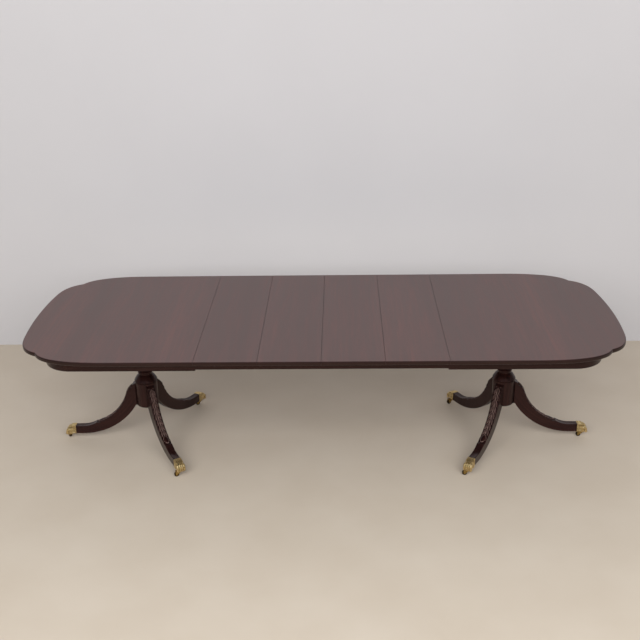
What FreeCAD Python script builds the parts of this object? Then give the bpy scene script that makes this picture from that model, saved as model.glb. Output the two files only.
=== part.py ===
import FreeCAD, Part
import math
import os

V = FreeCAD.Vector
UP = V(0, 0, 1)
ORIGIN = V(0, 0, 0)
os.makedirs("parts", exist_ok=True)

# Overall sizes in millimetres, with the origin on the floor under the middle of the top
inch = 25.4
table_height = 29.5 * inch
table_width = 46 * inch
half_length = 36 * inch
leaf_length = 12 * inch
leaf_count = 4
seam_gap = 0.3
seam_ease = 0.8

# Board of the top and its rounded edge
top_thick = 21
edge_upper_round = 5
edge_lower_round = 5
leaf_clear = 0.3

# Bowed end of the top, and the two lobes that meet in a notch at each corner
bow_radius = 2400
bow_half_width = 250
notch_from_end = 126
notch_from_side = 118
notch_radius = 8
side_lobe_length = 484
side_lobe_angle = 62
side_lobe_pull = 171
side_lobe_end_pull = 96
end_lobe_angle = 25
end_lobe_pull = 103
end_lobe_end_pull = 76

# Dowel pins that line up the leaves
pin_radius = 4.5
pin_in = 16
pin_out = 13
pin_tip = 1.5
pin_slack = 0.3
pin_ys = (-430, -150, 150, 430)

# Apron under each half, and the strips under the leaves
apron_side_setback = 64
apron_end_setback = 149
apron_depth = 55
leaf_apron_depth = 48
apron_thick = 22
apron_corner = 160
apron_tenon = (18, 8, 32)
block_leg = 26
block_length = 60
side_block_spacing = 150
side_block_count = 4
end_block_spacing = 190
end_block_count = 4

# Extension slides: a rail fixed to each half and a middle slide that runs between them
slide_length = 44 * inch
slide_width = 30
slide_height = 40
slide_gap = 0.5
slide_inner_y = 215
rail_past_board = 30.7
dovetail_depth = 7
dovetail_root = 10
dovetail_tip = 16
dovetail_slack = 0.4

# Battens under each half
batten_height = 25
end_batten_width = 40
end_batten_gap = 14
seam_batten_width = 50
seam_batten_from_seam = 80
batten_clear = 2

# Pedestal
pedestal_from_seam = 368.1
board_length = 320
board_width = 660
board_thick = 30
board_chamfer = 6
hub_radius = 60
hub_bottom = 217
hub_top = 361
tenon_radius = 26

# Turned column above the hub: radius, height above the hub, and bulge of the line that leads there
turning_height = 297.3
column_turning = (
    (57, 2, 0),
    (57, 4, 0),
    (62, 8, 0.25),
    (39, 42, 0.05),
    (36, 45, 0),
    (36, 50, 0),
    (36, 63, 0.3),
    (33, 68, 0),
    (48, 151, 0.08),
    (30, 239, 0.12),
    (30, 249, 0),
    (32, 263, 0.5),
    (32, 268, 0),
    (62, 287, -0.3),
)
hub_bottom_round = 8

# Sabre legs, three to each pedestal: distance r from the column axis, height z above the floor
leg_angles = {"outer": 0, "front": -120, "back": 120}
leg_end_r = 420
leg_under_from_end = 36.5
leg_end_height = 45.8
leg_over_from_end = 42
leg_heel_rise = 8.8
knee_from_hub = 56
knee_drop = 62
leaf_tip_from_end = 132
leaf_tip_rise = 29.8
leaf_tip_round = 40
leaf_hollow = 0.12
leg_hub_drop = 11
leg_hub_width = 46
leg_end_width = 36
leg_round = 3
spigot_length = 22
spigot_width = 24
spigot_height = 22
key_depth = 16
key_root = 18
key_tip = 26
key_drop = 20

# Brass paw cup on each leg, measured from the end of the leg and from the sole
cup_lap = 2
cup_wall = 3
cup_rise = 6.2
paw_length = 52
paw_heel = 1
paw_sole = 7
paw_instep = 20
paw_front_rise = 22
paw_round = 4
toe_count = 4
toe_radius = 6.4
toe_length = 19
toe_setback = 4
toe_rise = 7.5
stem_from_end = 32

# Caster under each paw, with the way each wheel trails when the table stands
stem_radius = 5
stem_length = 25
stem_clear = 0.05
stem_end_gap = 1.5
crown_gap = 0.3
crown_thick = 3.6
crown_wheel_gap = 1.1
crown_back = 9
trail = 20
wheel_radius = 13
wheel_width = 12
wheel_round = 2
wheel_dish = 1
wheel_hub_radius = 6
axle_radius = 2.5
axle_clear = 0.05
cheek_gap = 0.4
cheek_thick = 2.4
cheek_end = 5.5
rivet_lip = 1.5
rivet_head_thick = 1
caster_trails = {
    ("left", "outer"): 130,
    ("left", "front"): 200,
    ("left", "back"): 205,
    ("right", "outer"): 180,
    ("right", "front"): 180,
    ("right", "back"): 210,
}

# Iron spider plate under the hub
spider_thick = 4
spider_proud = 0.6
spider_radius = 38
spider_arm_width = 20
spider_reach = 125
spider_screw_r = 24
spider_leg_screw_r = 106

# Wood screws
screw_head = 5
screw_head_depth = 3
screw_shank = 2.4
screw_point = 5
screw_bite = 20
top_screw_bite = 14
rail_screw_xs = (50, 180)
board_screw_x = 120
batten_screw_ys = (-380, 0, 380)
paw_screw_past_end = 13

# Sizes of the top and its frame that follow from the ones above
underside = table_height - top_thick
seam_x = leaf_count * leaf_length / 2
end_x = seam_x + half_length
side_y = table_width / 2
pin_z = table_height - top_thick / 2
socket_radius = pin_radius + pin_slack
socket_depth = pin_out + 2 * pin_tip
apron_y = side_y - apron_side_setback
apron_x = end_x - apron_end_setback
apron_bottom = underside - apron_depth
rail_bottom = underside - slide_height
slide_pitch = slide_width + slide_gap

# Sizes of the casters and paws that follow
wheel_z = wheel_radius
crown_bottom = 2 * wheel_radius + crown_wheel_gap
crown_top = crown_bottom + crown_thick
cheek_y = wheel_width / 2 + cheek_gap
paw_bottom = crown_top + crown_gap
paw_tip_r = leg_end_r + paw_length
stem_r = leg_end_r + stem_from_end
stem_top = paw_bottom + stem_length
toe_front_r = paw_tip_r - toe_setback
toe_pitch = (leg_end_width + 2 * cup_wall) / toe_count

# Sizes of the pedestal that follow
pedestal_x = seam_x + pedestal_from_seam
rail_end_x = pedestal_x + board_length / 2 + rail_past_board
slide_from_middle = rail_end_x - slide_length
board_bottom = rail_bottom - board_thick
leg_hub_top = hub_top - leg_hub_drop
key_top = leg_hub_top - key_drop
leg_under_z = paw_bottom + cup_rise
leg_over_z = leg_under_z + leg_end_height
leg_heel_z = hub_bottom + leg_heel_rise
leg_under_centre_r = leg_end_r - leg_under_from_end
leg_under_run = leg_under_centre_r - hub_radius
leg_under_climb = leg_heel_z - leg_under_z
leg_under_radius = (leg_under_run ** 2 + leg_under_climb ** 2) / (2 * leg_under_climb)
leg_under_centre_z = leg_under_z + leg_under_radius
leaf_tip_r = leg_end_r - leaf_tip_from_end
leaf_tip_z = leg_over_z + leaf_tip_rise
spigot_z = (leg_under_z + leg_over_z) / 2


def box(x0, x1, y0, y1, z0, z1):
    """Box between two corners."""
    return Part.makeBox(x1 - x0, y1 - y0, z1 - z0, V(x0, y0, z0))


def prism(points, along):
    """Solid made by pushing a flat polygon along a vector."""
    wire = Part.makePolygon(list(points) + [points[0]])
    return Part.Face(wire).extrude(along)


def union(shapes):
    """One solid fused from several."""
    shapes = list(shapes)
    return shapes[0].multiFuse(shapes[1:]).removeSplitter()


def bezier(poles):
    """Smooth edge with a handle at each end."""
    curve = Part.BezierCurve()
    curve.setPoles(poles)
    return curve.toShape()


def arc_from(start, tangent, end):
    """Arc that leaves start along a tangent and ends at end."""
    chord = end - start
    side = tangent - chord * (tangent.dot(chord) / chord.dot(chord))
    side.normalize()
    turn = tangent.getAngle(chord)
    middle = start + chord / 2 + side * (chord.Length / 2 * math.tan(turn / 2))
    return Part.Arc(start, middle, end).toShape()


def placed(shape, angle, x):
    """Copy turned about the vertical, then moved along the table."""
    copy = shape.copy()
    copy.rotate(ORIGIN, UP, angle)
    copy.translate(V(x, 0, 0))
    return copy


def mirrored_y(shape):
    """Copy on the other long side of the table."""
    return shape.mirror(ORIGIN, V(0, 1, 0))


def heading(angle):
    """Direction of the top's rim where it has turned in by an angle."""
    turn = math.radians(angle)
    return V(math.cos(turn), -math.sin(turn), 0)


def outward(angle):
    """Direction out of the top, square to heading."""
    turn = math.radians(angle)
    return V(math.sin(turn), math.cos(turn), 0)


# Table top

def corner_edges():
    """Rim of the right half from the seam to the bowed end, on the back side."""
    middle_angle = (side_lobe_angle + end_lobe_angle) / 2
    half_kink = math.radians(side_lobe_angle - end_lobe_angle) / 2
    notch = V(end_x - notch_from_end, side_y - notch_from_side, 0)
    centre = notch + outward(middle_angle) * (notch_radius / math.cos(half_kink))
    side_end = centre - outward(side_lobe_angle) * notch_radius
    end_start = centre - outward(end_lobe_angle) * notch_radius
    bow_turn = math.asin(bow_half_width / bow_radius)
    bow_out = V(math.cos(bow_turn), math.sin(bow_turn), 0)
    bow_heading = V(math.sin(bow_turn), -math.cos(bow_turn), 0)
    bow_start = V(end_x - bow_radius, 0, 0) + bow_out * bow_radius
    seam = V(seam_x + seam_gap / 2, side_y, 0)
    side_start = V(end_x - side_lobe_length, side_y, 0)
    side_lobe = bezier([
        side_start,
        side_start + V(side_lobe_pull, 0, 0),
        side_end - heading(side_lobe_angle) * side_lobe_end_pull,
        side_end,
    ])
    end_lobe = bezier([
        end_start,
        end_start + heading(end_lobe_angle) * end_lobe_pull,
        bow_start - bow_heading * end_lobe_end_pull,
        bow_start,
    ])
    notch_edge = Part.Arc(side_end, centre - outward(middle_angle) * notch_radius, end_start).toShape()
    return [Part.makeLine(seam, side_start), side_lobe, notch_edge, end_lobe], seam, bow_start


def half_slab():
    """Flat slab with the outline of the right half."""
    edges, seam, bow_start = corner_edges()
    rim = edges + [mirrored_y(edge) for edge in edges]
    rim.append(Part.Arc(bow_start, V(end_x, 0, 0), V(bow_start.x, -bow_start.y, 0)).toShape())
    rim.append(Part.makeLine(V(seam.x, -seam.y, 0), seam))
    wire = Part.Wire(Part.__sortEdges__(rim))
    slab = Part.Face(wire).extrude(UP * top_thick)
    slab.translate(UP * underside)
    return slab


def rim_edges(slab, z):
    """Edges of a slab at one height, apart from those that lie along a seam."""
    box_edges = [(edge, edge.BoundBox) for edge in slab.Edges]
    flat = [(edge, b) for edge, b in box_edges if abs(b.ZMin - z) + abs(b.ZMax - z) < seam_ease / 2]
    return [edge for edge, b in flat if b.XLength > seam_ease]


def moulded(slab):
    """Board with its free edges rounded above and below."""
    slab = slab.makeFillet(edge_upper_round, rim_edges(slab, table_height))
    return slab.makeFillet(edge_lower_round, rim_edges(slab, slab.BoundBox.ZMin))


def pin_holes(x, direction, radius, depth):
    """Holes for the dowel pins in the edge at x."""
    return [Part.makeCylinder(radius, depth, V(x, y, pin_z), V(direction, 0, 0)) for y in pin_ys]


def seam_arris(x, direction):
    """Wedge that eases the upper arris of a seam."""
    ease = seam_ease
    points = [
        V(x + 2 * ease * direction, -side_y, table_height + ease),
        V(x - ease * direction, -side_y, table_height - 2 * ease),
        V(x - ease * direction, -side_y, table_height + ease),
    ]
    return prism(points, V(0, table_width, 0))


def half_top(hole_radius, hole_depth):
    """Fixed end of the top, with holes along its seam."""
    board = moulded(half_slab())
    seam = seam_x + seam_gap / 2
    return board.cut(pin_holes(seam, 1, hole_radius, hole_depth) + [seam_arris(seam, 1)])


def leaf_span(index):
    """Left and right edges of a leaf."""
    left = index * leaf_length - seam_x + seam_gap / 2
    return left, left + leaf_length - seam_gap


def leaf_board(index):
    """Loose leaf, with sockets on its left edge and pin holes on its right."""
    left, right = leaf_span(index)
    board = moulded(box(left, right, -side_y, side_y, underside + leaf_clear, table_height))
    sockets = pin_holes(left, 1, socket_radius, socket_depth)
    holes = pin_holes(right, -1, pin_radius, pin_in)
    return board.cut(sockets + holes + [seam_arris(left, 1), seam_arris(right, -1)])


def leaf_aprons(index):
    """Front and back apron strips glued under a leaf."""
    left, right = leaf_span(index)
    top = underside + leaf_clear
    front = box(left, right, -apron_y, apron_thick - apron_y, underside - leaf_apron_depth, top)
    return [front, mirrored_y(front)]


def leaf_pins(seam_index):
    """Row of glued dowel pins that stand out of the left side of a seam."""
    x = seam_index * leaf_length - seam_x - seam_gap / 2
    along = V(1, 0, 0)
    shank_length = pin_in + pin_out - pin_tip
    pins = []
    for y in pin_ys:
        base = V(x - pin_in, y, pin_z)
        shank = Part.makeCylinder(pin_radius, shank_length, base, along)
        tip = Part.makeCone(pin_radius, pin_radius - pin_tip, pin_tip, base + along * shank_length, along)
        pins.append(union([shank, tip]))
    return pins


# Apron frame under the right half

def apron_side():
    """Front rail of the apron, with a tenon into the corner."""
    length, thick, height = apron_tenon
    corner_x = apron_x - apron_corner
    middle_y = apron_thick / 2 - apron_y
    middle_z = (apron_bottom + underside) / 2
    rail = box(seam_x + seam_gap / 2, corner_x, -apron_y, apron_thick - apron_y, apron_bottom, underside)
    tenon = box(corner_x, corner_x + length, middle_y - thick / 2, middle_y + thick / 2,
                middle_z - height / 2, middle_z + height / 2)
    return union([rail, tenon])


def apron_end():
    """End rail of the apron, with a tenon at each end."""
    length, thick, height = apron_tenon
    corner_y = apron_y - apron_corner
    middle_x = apron_x - apron_thick / 2
    middle_z = (apron_bottom + underside) / 2
    rail = box(apron_x - apron_thick, apron_x, -corner_y, corner_y, apron_bottom, underside)
    tenon = box(middle_x - thick / 2, middle_x + thick / 2, -corner_y - length, corner_y + length,
                middle_z - height / 2, middle_z + height / 2)
    return union([rail, tenon])


def apron_corners(rails):
    """Two bent corners of the apron, mortised for the rails."""
    centre = V(apron_x - apron_corner, apron_corner - apron_y, apron_bottom)
    outer = Part.makeCylinder(apron_corner, apron_depth, centre, UP)
    inner = Part.makeCylinder(apron_corner - apron_thick, apron_depth, centre, UP)
    quarter = box(centre.x, apron_x, -apron_y, centre.y, apron_bottom, underside)
    front = outer.cut(inner).common(quarter)
    return [corner.cut(rails) for corner in (front, mirrored_y(front))]


def glue_blocks():
    """Three-sided blocks in the angle between apron and top."""
    blocks = []
    inner_y = apron_y - apron_thick
    inner_x = apron_x - apron_thick
    for index in range(side_block_count):
        x = seam_x + block_length / 2 + index * side_block_spacing
        points = [V(x, -inner_y, underside), V(x, block_leg - inner_y, underside),
                  V(x, -inner_y, underside - block_leg)]
        front = prism(points, V(block_length, 0, 0))
        blocks += [front, mirrored_y(front)]
    for index in range(end_block_count):
        y = (index - (end_block_count - 1) / 2) * end_block_spacing - block_length / 2
        points = [V(inner_x, y, underside), V(inner_x - block_leg, y, underside),
                  V(inner_x, y, underside - block_leg)]
        blocks.append(prism(points, V(0, block_length, 0)))
    return blocks


def cross_battens():
    """Batten across the end, and a short one near the seam between the slides."""
    end_start = rail_end_x + end_batten_gap
    long_y = apron_y - apron_thick - batten_clear
    seam_start = seam_x + seam_batten_from_seam
    short_y = slide_inner_y - batten_clear
    bottom = underside - batten_height
    end = box(end_start, end_start + end_batten_width, -long_y, long_y, bottom, underside)
    short = box(seam_start, seam_start + seam_batten_width, -short_y, short_y, bottom, underside)
    return [end, short]


# Extension slides

def dovetail(face_y, direction, x0, length, slack):
    """Dovetail tongue on the face at face_y, grown by a slack."""
    middle_z = (rail_bottom + underside) / 2
    root = dovetail_root / 2 + slack
    tip = dovetail_tip / 2 + slack
    tip_y = face_y + direction * (dovetail_depth + slack)
    back_y = face_y - direction * slack
    points = [V(x0, back_y, middle_z - root), V(x0, tip_y, middle_z - tip),
              V(x0, tip_y, middle_z + tip), V(x0, back_y, middle_z + root)]
    return prism(points, V(length, 0, 0))


def slide_rails(inner_y, groove_direction):
    """Front and back rails of one half, grooved for the middle slide."""
    body = box(slide_from_middle, rail_end_x, inner_y, inner_y + slide_width, rail_bottom, underside)
    middle_face = inner_y - slide_gap if groove_direction < 0 else inner_y + slide_width + slide_gap
    groove = dovetail(middle_face, -groove_direction, slide_from_middle, slide_length, dovetail_slack)
    back = body.cut(groove)
    return [mirrored_y(back), back]


def middle_slides():
    """Front and back middle slides, with a dovetail tongue on both faces."""
    inner_y = slide_inner_y + slide_pitch
    outer_y = inner_y + slide_width
    start = -slide_length / 2
    body = box(start, -start, inner_y, outer_y, rail_bottom + slide_gap, underside - slide_gap)
    tongues = [dovetail(inner_y, -1, start, slide_length, 0), dovetail(outer_y, 1, start, slide_length, 0)]
    back = union([body] + tongues)
    return [mirrored_y(back), back]


# Pedestal, built on the vertical axis through the origin

def turned(profile):
    """Solid turned from a list of radius, height and bulge."""
    points = [V(radius, 0, z) for radius, z, bulge in profile]
    edges = []
    for start, end, step in zip(points, points[1:], profile[1:]):
        chord = end - start
        out = V(chord.z, 0, -chord.x)
        edge = Part.makeLine(start, end)
        if step[2]:
            edge = Part.Arc(start, (start + end) / 2 + out * step[2], end).toShape()
        edges.append(edge)
    edges.append(Part.makeLine(points[-1], points[0]))
    return Part.Face(Part.Wire(edges)).revolve(ORIGIN, UP, 360)


def hub_outline():
    """Outline of the hub from its axis outwards and up."""
    return ((0, hub_bottom, 0), (hub_radius - hub_bottom_round, hub_bottom, 0),
            (hub_radius, hub_bottom + hub_bottom_round, 0.2), (hub_radius, hub_top, 0))


def column(keys):
    """Turned column with a hub below and a round tenon on top, slotted for the legs."""
    stretch = (board_bottom - hub_top) / turning_height
    shaft = tuple((radius, hub_top + rise * stretch, bulge) for radius, rise, bulge in column_turning)
    flange = column_turning[-1][0]
    head = ((flange, board_bottom, 0), (tenon_radius, board_bottom, 0),
            (tenon_radius, rail_bottom, 0), (0, rail_bottom, 0))
    return turned(hub_outline() + shaft + head).cut(keys)


def pedestal_board():
    """Thick board that takes the column's tenon and is screwed to the slide rails."""
    half_x = board_length / 2
    half_y = board_width / 2
    board = box(-half_x, half_x, -half_y, half_y, board_bottom, rail_bottom)
    lower = [edge for edge in board.Edges if edge.BoundBox.ZMax < rail_bottom - board_thick / 2]
    board = board.makeChamfer(board_chamfer, lower)
    return board.cut(Part.makeCylinder(tenon_radius, board_thick, V(0, 0, board_bottom), UP))


def leg_key():
    """Dovetail key that slides into the hub from below."""
    inner_x = hub_radius - key_depth
    points = [V(hub_radius, -key_root / 2, hub_bottom), V(inner_x, -key_tip / 2, hub_bottom),
              V(inner_x, key_tip / 2, hub_bottom), V(hub_radius, key_root / 2, hub_bottom)]
    return prism(points, UP * (key_top - hub_bottom))


def leg_side_view():
    """Face of the leg seen from the side, with the carved leaf standing up to its tip."""
    inner_r = hub_radius - key_depth
    under_low = V(leg_under_centre_r, 0, leg_under_z)
    under_drop = math.sqrt(leg_under_radius ** 2 - (leg_under_centre_r - inner_r) ** 2)
    under_high = V(inner_r, 0, leg_under_centre_z - under_drop)
    hub_high = V(hub_radius, 0, leg_hub_top)
    knee = V(hub_radius + knee_from_hub, 0, leg_hub_top - knee_drop)
    tip = V(leaf_tip_r, 0, leaf_tip_z)
    over_low = V(leg_end_r - leg_over_from_end, 0, leg_over_z)
    climb = knee - tip
    leaf_middle = (knee + tip) / 2 + V(-climb.z, 0, climb.x) * leaf_hollow
    knee_turn = math.atan2(climb.z, climb.x) - 2 * math.atan(2 * leaf_hollow)
    corners = [under_high, V(inner_r, 0, leg_hub_top), hub_high]
    toe = [over_low, V(leg_end_r, 0, leg_over_z), V(leg_end_r, 0, leg_under_z), under_low]
    edges = [Part.makeLine(start, end) for start, end in zip(corners, corners[1:])]
    edges += [Part.makeLine(start, end) for start, end in zip(toe, toe[1:])]
    edges.append(arc_from(over_low, V(-1, 0, 0), tip))
    edges.append(Part.Arc(tip, leaf_middle, knee).toShape())
    edges.append(arc_from(knee, V(math.cos(knee_turn), 0, math.sin(knee_turn)), hub_high))
    edges.append(arc_from(under_low, V(-1, 0, 0), under_high))
    return Part.Face(Part.Wire(Part.__sortEdges__(edges)))


def leg():
    """Sabre leg pointing along +X, with a key for the hub and a spigot for the paw."""
    side_view = leg_side_view()
    side_view.translate(V(0, -leg_hub_width / 2, 0))
    blank = side_view.extrude(V(0, leg_hub_width, 0))
    tip = V(leaf_tip_r, 0, leaf_tip_z)
    crest = [edge for edge in blank.Edges if (edge.CenterOfMass - tip).Length < leg_round]
    blank = blank.makeFillet(leaf_tip_round, crest)
    plan = [V(0, -leg_hub_width / 2, 0), V(hub_radius, -leg_hub_width / 2, 0),
            V(leg_end_r, -leg_end_width / 2, 0), V(leg_end_r, leg_end_width / 2, 0),
            V(hub_radius, leg_hub_width / 2, 0), V(0, leg_hub_width / 2, 0)]
    hub = turned(hub_outline() + ((0, hub_top, 0),))
    shaped = blank.common(prism(plan, UP * table_height)).cut(hub)
    long_edges = [edge for edge in shaped.Edges if edge.BoundBox.XLength > 2 * leg_round]
    outer_edges = [edge for edge in long_edges if abs(edge.CenterOfMass.y) > leg_round]
    shaped = shaped.makeFillet(leg_round, outer_edges)
    spigot = box(leg_end_r, leg_end_r + spigot_length, -spigot_width / 2, spigot_width / 2,
                 spigot_z - spigot_height / 2, spigot_z + spigot_height / 2)
    return union([shaped, leg_key().common(hub), spigot])


def paw(leg_shape):
    """Brass paw cup that the end of the leg is let into."""
    half_width = leg_end_width / 2 + cup_wall
    low = leg_under_z - cup_wall
    high = leg_over_z + cup_wall
    heel = V(leg_end_r + paw_heel, 0, low)
    sole = V(leg_end_r + paw_sole, 0, paw_bottom)
    sole_tip = V(paw_tip_r - 2 * paw_round, 0, paw_bottom)
    low_tip = V(paw_tip_r, 0, paw_bottom + 2 * paw_round)
    high_tip = V(paw_tip_r, 0, paw_bottom + paw_front_rise)
    instep = V(leg_end_r + paw_instep, 0, high)
    back_high = V(leg_end_r - cup_lap, 0, high)
    back_low = V(leg_end_r - cup_lap, 0, low)
    corners = [instep, back_high, back_low, heel, sole, sole_tip, low_tip, high_tip]
    edges = [Part.makeLine(start, end) for start, end in zip(corners, corners[1:])]
    edges.append(arc_from(instep, V(1, 0, 0), high_tip))
    face = Part.Face(Part.Wire(Part.__sortEdges__(edges)))
    face.translate(V(0, -half_width, 0))
    body = face.extrude(V(0, 2 * half_width, 0))
    upper = [edge for edge in body.Edges if edge.BoundBox.ZMax > high - paw_round]
    body = body.makeFillet(paw_round, [edge for edge in upper if edge.BoundBox.XLength > paw_round])
    toes = []
    for index in range(toe_count):
        y = (index - (toe_count - 1) / 2) * toe_pitch
        front = V(toe_front_r, y, paw_bottom + toe_rise)
        toes.append(Part.makeCylinder(toe_radius, toe_length, front, V(-1, 0, 0)))
        toes.append(Part.makeSphere(toe_radius, front))
    bore = Part.makeCylinder(stem_radius + stem_clear, stem_top + stem_end_gap, V(stem_r, 0, 0), UP)
    return union([body] + toes).cut([leg_shape, bore])


def on_sweep(radius, r):
    """Point at r on a circle about the centre of the leg's underside."""
    return V(r, 0, leg_under_centre_z - math.sqrt(radius ** 2 - (leg_under_centre_r - r) ** 2))


def sweep_start(radius, z):
    """Distance from the axis where a circle about that centre comes down to z."""
    return leg_under_centre_r - math.sqrt(radius ** 2 - (leg_under_centre_z - z) ** 2)


def spider_arm_line(radius, z):
    """Level line and then arc of one face of an arm, from the axis outwards."""
    bend = sweep_start(radius, z)
    points = [on_sweep(radius, r) for r in (bend, (bend + spider_reach) / 2, spider_reach)]
    return [Part.makeLine(V(0, 0, z), points[0]), Part.Arc(*points).toShape()]


def spider_plate():
    """Iron plate under the hub, with an arm let into the underside of each leg."""
    plate_bottom = hub_bottom - spider_thick
    outer = leg_under_radius + spider_proud
    inner = outer - spider_thick
    ends = [Part.makeLine(V(0, 0, plate_bottom), V(0, 0, hub_bottom)),
            Part.makeLine(on_sweep(outer, spider_reach), on_sweep(inner, spider_reach))]
    edges = ends + spider_arm_line(outer, plate_bottom) + spider_arm_line(inner, hub_bottom)
    side_view = Part.Face(Part.Wire(Part.__sortEdges__(edges)))
    side_view.translate(V(0, -spider_arm_width / 2, 0))
    arm = side_view.extrude(V(0, spider_arm_width, 0))
    disc = Part.makeCylinder(spider_radius, spider_thick, V(0, 0, plate_bottom), UP)
    return union([disc] + [placed(arm, angle, 0) for angle in leg_angles.values()])


# Screws

def wood_screw(base, direction, length):
    """Countersunk wood screw with its head at base."""
    head = Part.makeCone(screw_head, screw_shank, screw_head_depth, base, direction)
    shank_length = length - screw_head_depth - screw_point
    shank = Part.makeCylinder(screw_shank, shank_length, base + direction * screw_head_depth, direction)
    point = Part.makeCone(screw_shank, 0, screw_point, base + direction * (length - screw_point), direction)
    return union([head, shank, point])


def top_screws(rail_y):
    """Screws up through the rails and the end batten into the top."""
    screws = []
    for y in (-rail_y, rail_y):
        for x in rail_screw_xs:
            screws.append(wood_screw(V(seam_x + x, y, rail_bottom), UP, slide_height + top_screw_bite))
    x = rail_end_x + end_batten_gap + end_batten_width / 2
    for y in batten_screw_ys:
        screws.append(wood_screw(V(x, y, underside - batten_height), UP, batten_height + top_screw_bite))
    return screws


def pedestal_screws(rail_y):
    """Screws through the board into the rails, and through the spider plate."""
    screws = []
    for x in (-board_screw_x, board_screw_x):
        for y in (-rail_y, rail_y):
            screws.append(wood_screw(V(x, y, board_bottom), UP, board_thick + screw_bite))
    screws += spider_screws()
    return screws


def spider_screws():
    """Screws through the spider plate into the hub and into each leg."""
    screws = []
    base = on_sweep(leg_under_radius + spider_proud, spider_leg_screw_r)
    inward = V(leg_under_centre_r, 0, leg_under_centre_z) - base
    inward.normalize()
    leg_screw = wood_screw(base, inward, spider_thick + screw_bite)
    hub_screw = wood_screw(V(-spider_screw_r, 0, hub_bottom - spider_thick), UP, spider_thick + screw_bite)
    for angle in leg_angles.values():
        screws += [placed(leg_screw, angle, 0), placed(hub_screw, angle, 0)]
    return screws


def paw_screw():
    """Screw up through the sole of the paw into the leg's spigot."""
    return wood_screw(V(leg_end_r + paw_screw_past_end, 0, paw_bottom), UP, spigot_z - paw_bottom)


# Casters, built about the stem with the wheel trailing along +X

def caster_fork():
    """Stem, crown and two cheeks in one casting."""
    stem = Part.makeCylinder(stem_radius, stem_top - crown_bottom, V(0, 0, crown_bottom), UP)
    outer_y = cheek_y + cheek_thick
    crown = box(-crown_back, trail + cheek_end, -outer_y, outer_y, crown_bottom, crown_top)
    cheeks = []
    for y in (-outer_y, cheek_y):
        points = [V(-crown_back, y, crown_top), V(trail - cheek_end, y, wheel_z),
                  V(trail + cheek_end, y, wheel_z), V(trail + cheek_end, y, crown_top)]
        cheeks.append(prism(points, V(0, cheek_thick, 0)))
        cheeks.append(Part.makeCylinder(cheek_end, cheek_thick, V(trail, y, wheel_z), V(0, 1, 0)))
    body = union([stem, crown] + cheeks)
    return body.cut(axle_rivet())


def axle_rivet():
    """Axle pin with a round head at each end."""
    outer_y = cheek_y + cheek_thick
    pin = Part.makeCylinder(axle_radius, 2 * outer_y, V(trail, -outer_y, wheel_z), V(0, 1, 0))
    heads = []
    for side in (-1, 1):
        base = V(trail, side * outer_y, wheel_z)
        heads.append(Part.makeCylinder(axle_radius + rivet_lip, rivet_head_thick, base, V(0, side, 0)))
    return union([pin] + heads)


def caster_wheel():
    """Solid wheel with a rounded tread and dished faces."""
    half = wheel_width / 2
    centre = V(trail, -half, wheel_z)
    disc = Part.makeCylinder(wheel_radius, wheel_width, centre, V(0, 1, 0))
    rims = [edge for edge in disc.Edges if edge.BoundBox.YLength < wheel_round]
    disc = disc.makeFillet(wheel_round, rims)
    dishes = []
    for side in (-1, 1):
        base = V(trail, side * (half - wheel_dish), wheel_z)
        ring = Part.makeCylinder(wheel_radius - 2 * wheel_round, wheel_dish, base, V(0, side, 0))
        dishes.append(ring.cut(Part.makeCylinder(wheel_hub_radius, wheel_dish, base, V(0, side, 0))))
    bore = Part.makeCylinder(axle_radius + axle_clear, wheel_width, centre, V(0, 1, 0))
    return disc.cut(dishes + [bore])


# Assembly of one half, built on the right and mirrored for the left

def cut_all(shapes, tools):
    """Each shape with the screws' holes cut in it."""
    return [shape.cut(tools) for shape in shapes]


def half_nodes(rail_inner_y, groove_direction, hole_radius, hole_depth):
    """Every fixed piece of the right half, by name."""
    rail_y = rail_inner_y + slide_width / 2
    screws = top_screws(rail_y)
    base_screws = [placed(screw, 0, pedestal_x) for screw in pedestal_screws(rail_y)]
    all_screws = screws + base_screws
    spider = placed(spider_plate(), 0, pedestal_x)
    side = apron_side()
    end = apron_end()
    rails = [side, mirrored_y(side), end]
    nodes = {
        "top": cut_all([half_top(hole_radius, hole_depth)], screws),
        "side_aprons": rails[:2],
        "end_apron": [end],
        "apron_corners": apron_corners(rails),
        "glue_blocks": glue_blocks(),
        "cross_battens": cut_all(cross_battens(), screws),
        "slide_rails": cut_all(slide_rails(rail_inner_y, groove_direction), all_screws),
        "pedestal_board": cut_all([placed(pedestal_board(), 0, pedestal_x)], base_screws),
        "spider_plate": cut_all([spider], base_screws),
    }
    keys = [placed(leg_key(), angle, 0) for angle in leg_angles.values()]
    nodes["column"] = cut_all([placed(column(keys), 0, pedestal_x)], base_screws)
    plain_leg = leg()
    brass_paw = paw(plain_leg).cut(paw_screw())
    paw_screws = []
    for name, angle in leg_angles.items():
        screw = placed(paw_screw(), angle, pedestal_x)
        nodes[name + "_leg"] = cut_all([placed(plain_leg, angle, pedestal_x)], base_screws + [screw, spider])
        nodes[name + "_paw"] = [placed(brass_paw, angle, pedestal_x)]
        paw_screws.append(screw)
    nodes["wood_screws"] = all_screws + paw_screws
    return nodes


def save(name, shapes):
    """Write one named piece, or one group of separate pieces."""
    solids = [solid for shape in shapes for solid in shape.Solids]
    shape = solids[0] if len(solids) == 1 else Part.makeCompound(solids)
    shape.exportStep("parts/" + name + ".step")


def save_half(side, nodes):
    """Write the pieces of one half."""
    for name, shapes in nodes.items():
        if side == "left":
            shapes = [shape.mirror(ORIGIN, V(1, 0, 0)) for shape in shapes]
        save(side + "_" + name, shapes)


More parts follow.
